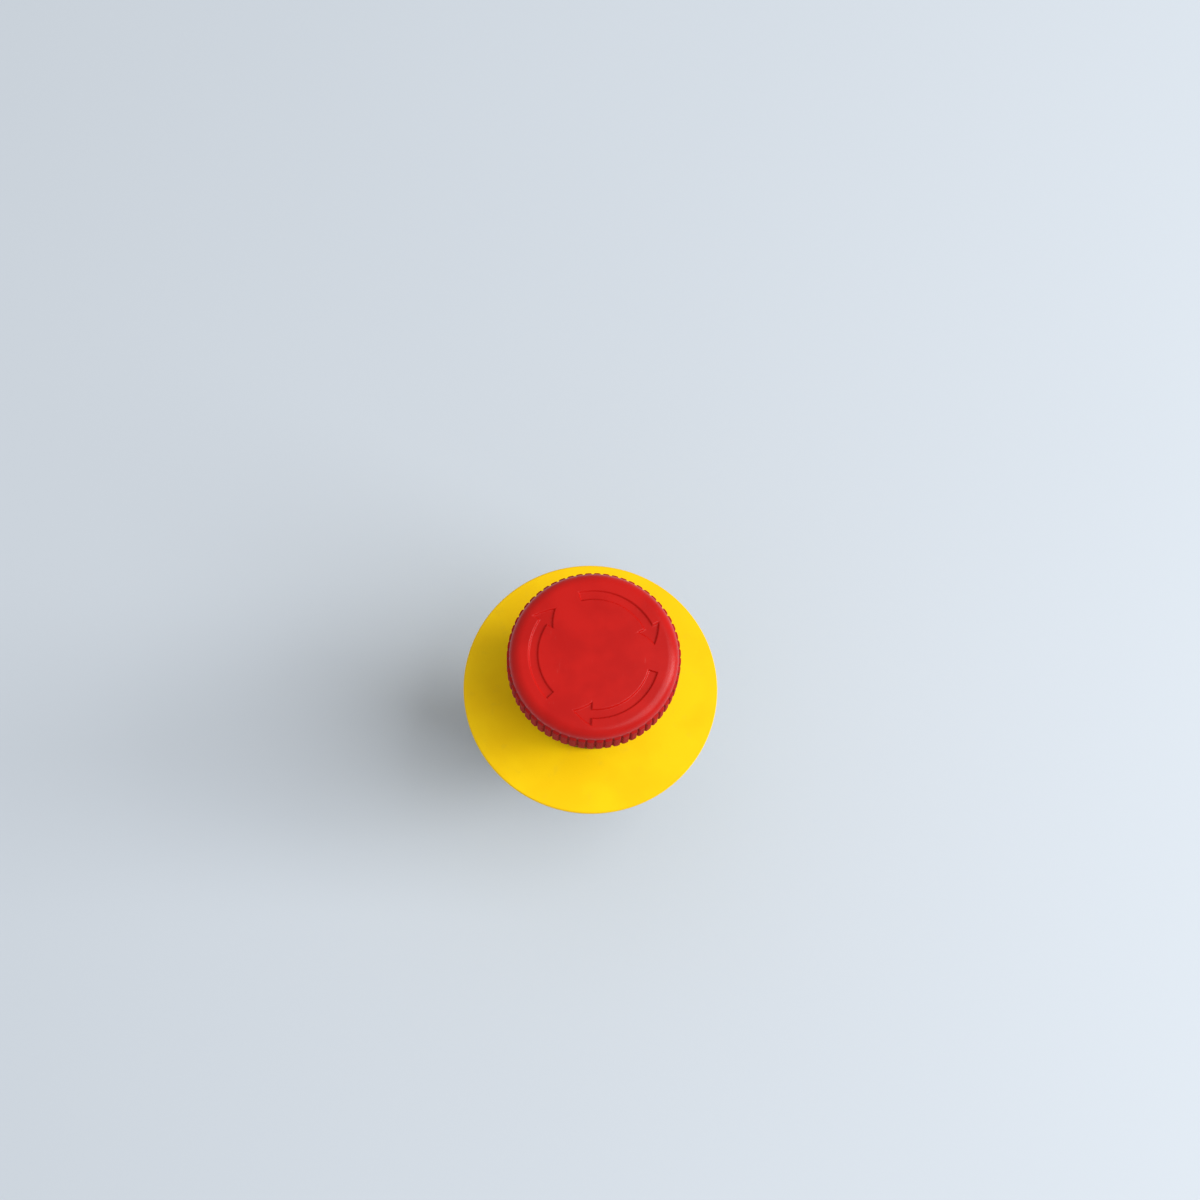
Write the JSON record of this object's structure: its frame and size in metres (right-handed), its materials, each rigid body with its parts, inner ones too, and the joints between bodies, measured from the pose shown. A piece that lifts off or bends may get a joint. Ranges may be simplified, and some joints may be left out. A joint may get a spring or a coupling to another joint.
{
  "type": "emergency stop button",
  "caption": "Red twist-to-release mushroom button with a yellow disc, threaded barrel for a round panel hole, bayonet holder and two screw-terminal contact blocks behind the panel.",
  "frame": {"origin": "centre of the panel hole on the panel's front face, the plane of the yellow disc's back", "axes": "+Z out of the panel along the button, +Y towards the anti-rotation key at the top of the panel, +X to the right seen from the front"},
  "size_m": [0.06, 0.06, 0.0876],
  "materials": {
    "red_head": "red moulded plastic, semi-gloss",
    "yellow_disc": "yellow sheet plastic, satin",
    "seal_rubber": "black rubber",
    "black_nylon": "black glass-filled nylon",
    "black_cap": "black plastic, satin",
    "white_slider": "natural acetal",
    "grey_spindle": "grey glass-filled plastic",
    "spring_steel": "bright spring steel",
    "pin_steel": "polished steel",
    "zinc_steel": "zinc-plated steel",
    "nut_zinc": "zinc die-cast, plated",
    "holder_nylon": "black glass-filled nylon",
    "lever_yellow": "amber plastic",
    "block_nylon": "grey glass-filled nylon",
    "clear_cover": "clear polycarbonate",
    "red_slider": "red acetal",
    "green_slider": "green acetal",
    "contact_brass": "brass with silver tips"
  },
  "bodies": {
    "operator": {"operator_barrel": "black_nylon", "shaft_seal": "seal_rubber", "collar_cap": "black_cap", "panel_gasket": "seal_rubber", "legend_disc": "yellow_disc", "trip_spring": "spring_steel", "holder_frame": "holder_nylon", "holder_cap": "holder_nylon", "closed_contact_housing": "block_nylon", "closed_contact_cover": "clear_cover", "closed_contact_fixed_contact_a": "contact_brass", "closed_contact_fixed_contact_b": "contact_brass", "closed_contact_terminal_screws": "zinc_steel", "closed_contact_clamp_washers": "zinc_steel", "closed_contact_return_spring": "spring_steel", "open_contact_housing": "block_nylon", "open_contact_cover": "clear_cover", "open_contact_fixed_contact_a": "contact_brass", "open_contact_fixed_contact_b": "contact_brass", "open_contact_terminal_screws": "zinc_steel", "open_contact_clamp_washers": "zinc_steel", "open_contact_return_spring": "spring_steel"},
    "plunger": {"plunger_sleeve": "white_slider", "pusher_plate": "white_slider", "stop_clip": "spring_steel", "torsion_spring": "spring_steel", "latch_springs": "spring_steel"},
    "head": {"mushroom_head": "red_head", "cam_spindle": "grey_spindle", "spindle_clip": "spring_steel"},
    "latch_right": {"latch_pin_right": "pin_steel"},
    "latch_left": {"latch_pin_left": "pin_steel"},
    "closed_slider": {"closed_contact_slider": "red_slider", "closed_contact_bridge": "contact_brass", "closed_contact_contact_spring": "spring_steel"},
    "open_slider": {"open_contact_slider": "green_slider", "open_contact_contact_spring": "spring_steel"},
    "open_bridge": {"open_contact_bridge": "contact_brass"},
    "lever_ring": {"locking_ring": "lever_yellow"},
    "washer": {"lock_washer": "zinc_steel"},
    "nut": {"ring_nut": "nut_zinc"}
  },
  "joints": [
    {"name": "head_press", "type": "slide", "parent": "operator", "child": "plunger", "axis": [0, 0, 1], "range_m": [-0.0045, 0], "stiffness_N_per_m": 2000, "springref_m": 0.006, "deforming": ["trip_spring"]},
    {"name": "head_twist", "type": "hinge", "parent": "plunger", "child": "head", "pos_m": [0, 0, 0], "axis": [0, 0, 1], "range_deg": [-35, 0], "stiffness_Nm_per_rad": 0.03, "springref_deg": 17.19},
    {"name": "latch_right_slide", "type": "slide", "parent": "plunger", "child": "latch_right", "axis": [1, 0, 0], "range_m": [0, 0.001]},
    {"name": "latch_left_slide", "type": "slide", "parent": "plunger", "child": "latch_left", "axis": [-1, 0, 0], "range_m": [0, 0.001]},
    {"name": "closed_press", "type": "slide", "parent": "operator", "child": "closed_slider", "axis": [0, 0, 1], "range_m": [-0.0045, 0], "deforming": ["closed_contact_return_spring"]},
    {"name": "open_press", "type": "slide", "parent": "operator", "child": "open_slider", "axis": [0, 0, 1], "range_m": [-0.0045, 0], "deforming": ["open_contact_return_spring"]},
    {"name": "open_bridge_rise", "type": "slide", "parent": "open_slider", "child": "open_bridge", "axis": [0, 0, 1], "range_m": [0, 0.0009], "deforming": ["open_contact_contact_spring"]},
    {"name": "lever_turn", "type": "hinge", "parent": "operator", "child": "lever_ring", "pos_m": [0, 0, -0.0178], "axis": [0, 0, 1], "range_deg": [0, 60]},
    {"name": "washer_slide", "type": "slide", "parent": "operator", "child": "washer", "axis": [0, 0, 1], "range_m": [0, 0.005]},
    {"name": "nut_turn", "type": "hinge", "parent": "washer", "child": "nut", "pos_m": [0, 0, -0.0085], "axis": [0, 0, 1], "range_deg": [0, 1200]}
  ],
  "couplings": [
    {"joint": "closed_press", "follows": "head_press", "ratio": 1},
    {"joint": "open_press", "follows": "head_press", "ratio": 1},
    {"joint": "open_bridge_rise", "follows": "head_press", "ratio": -0.2},
    {"joint": "latch_right_slide", "follows": "head_press", "ratio": -0.22222},
    {"joint": "latch_left_slide", "follows": "head_press", "ratio": -0.22222},
    {"joint": "washer_slide", "follows": "nut_turn", "m_per_rad": 0.00023873}
  ]
}
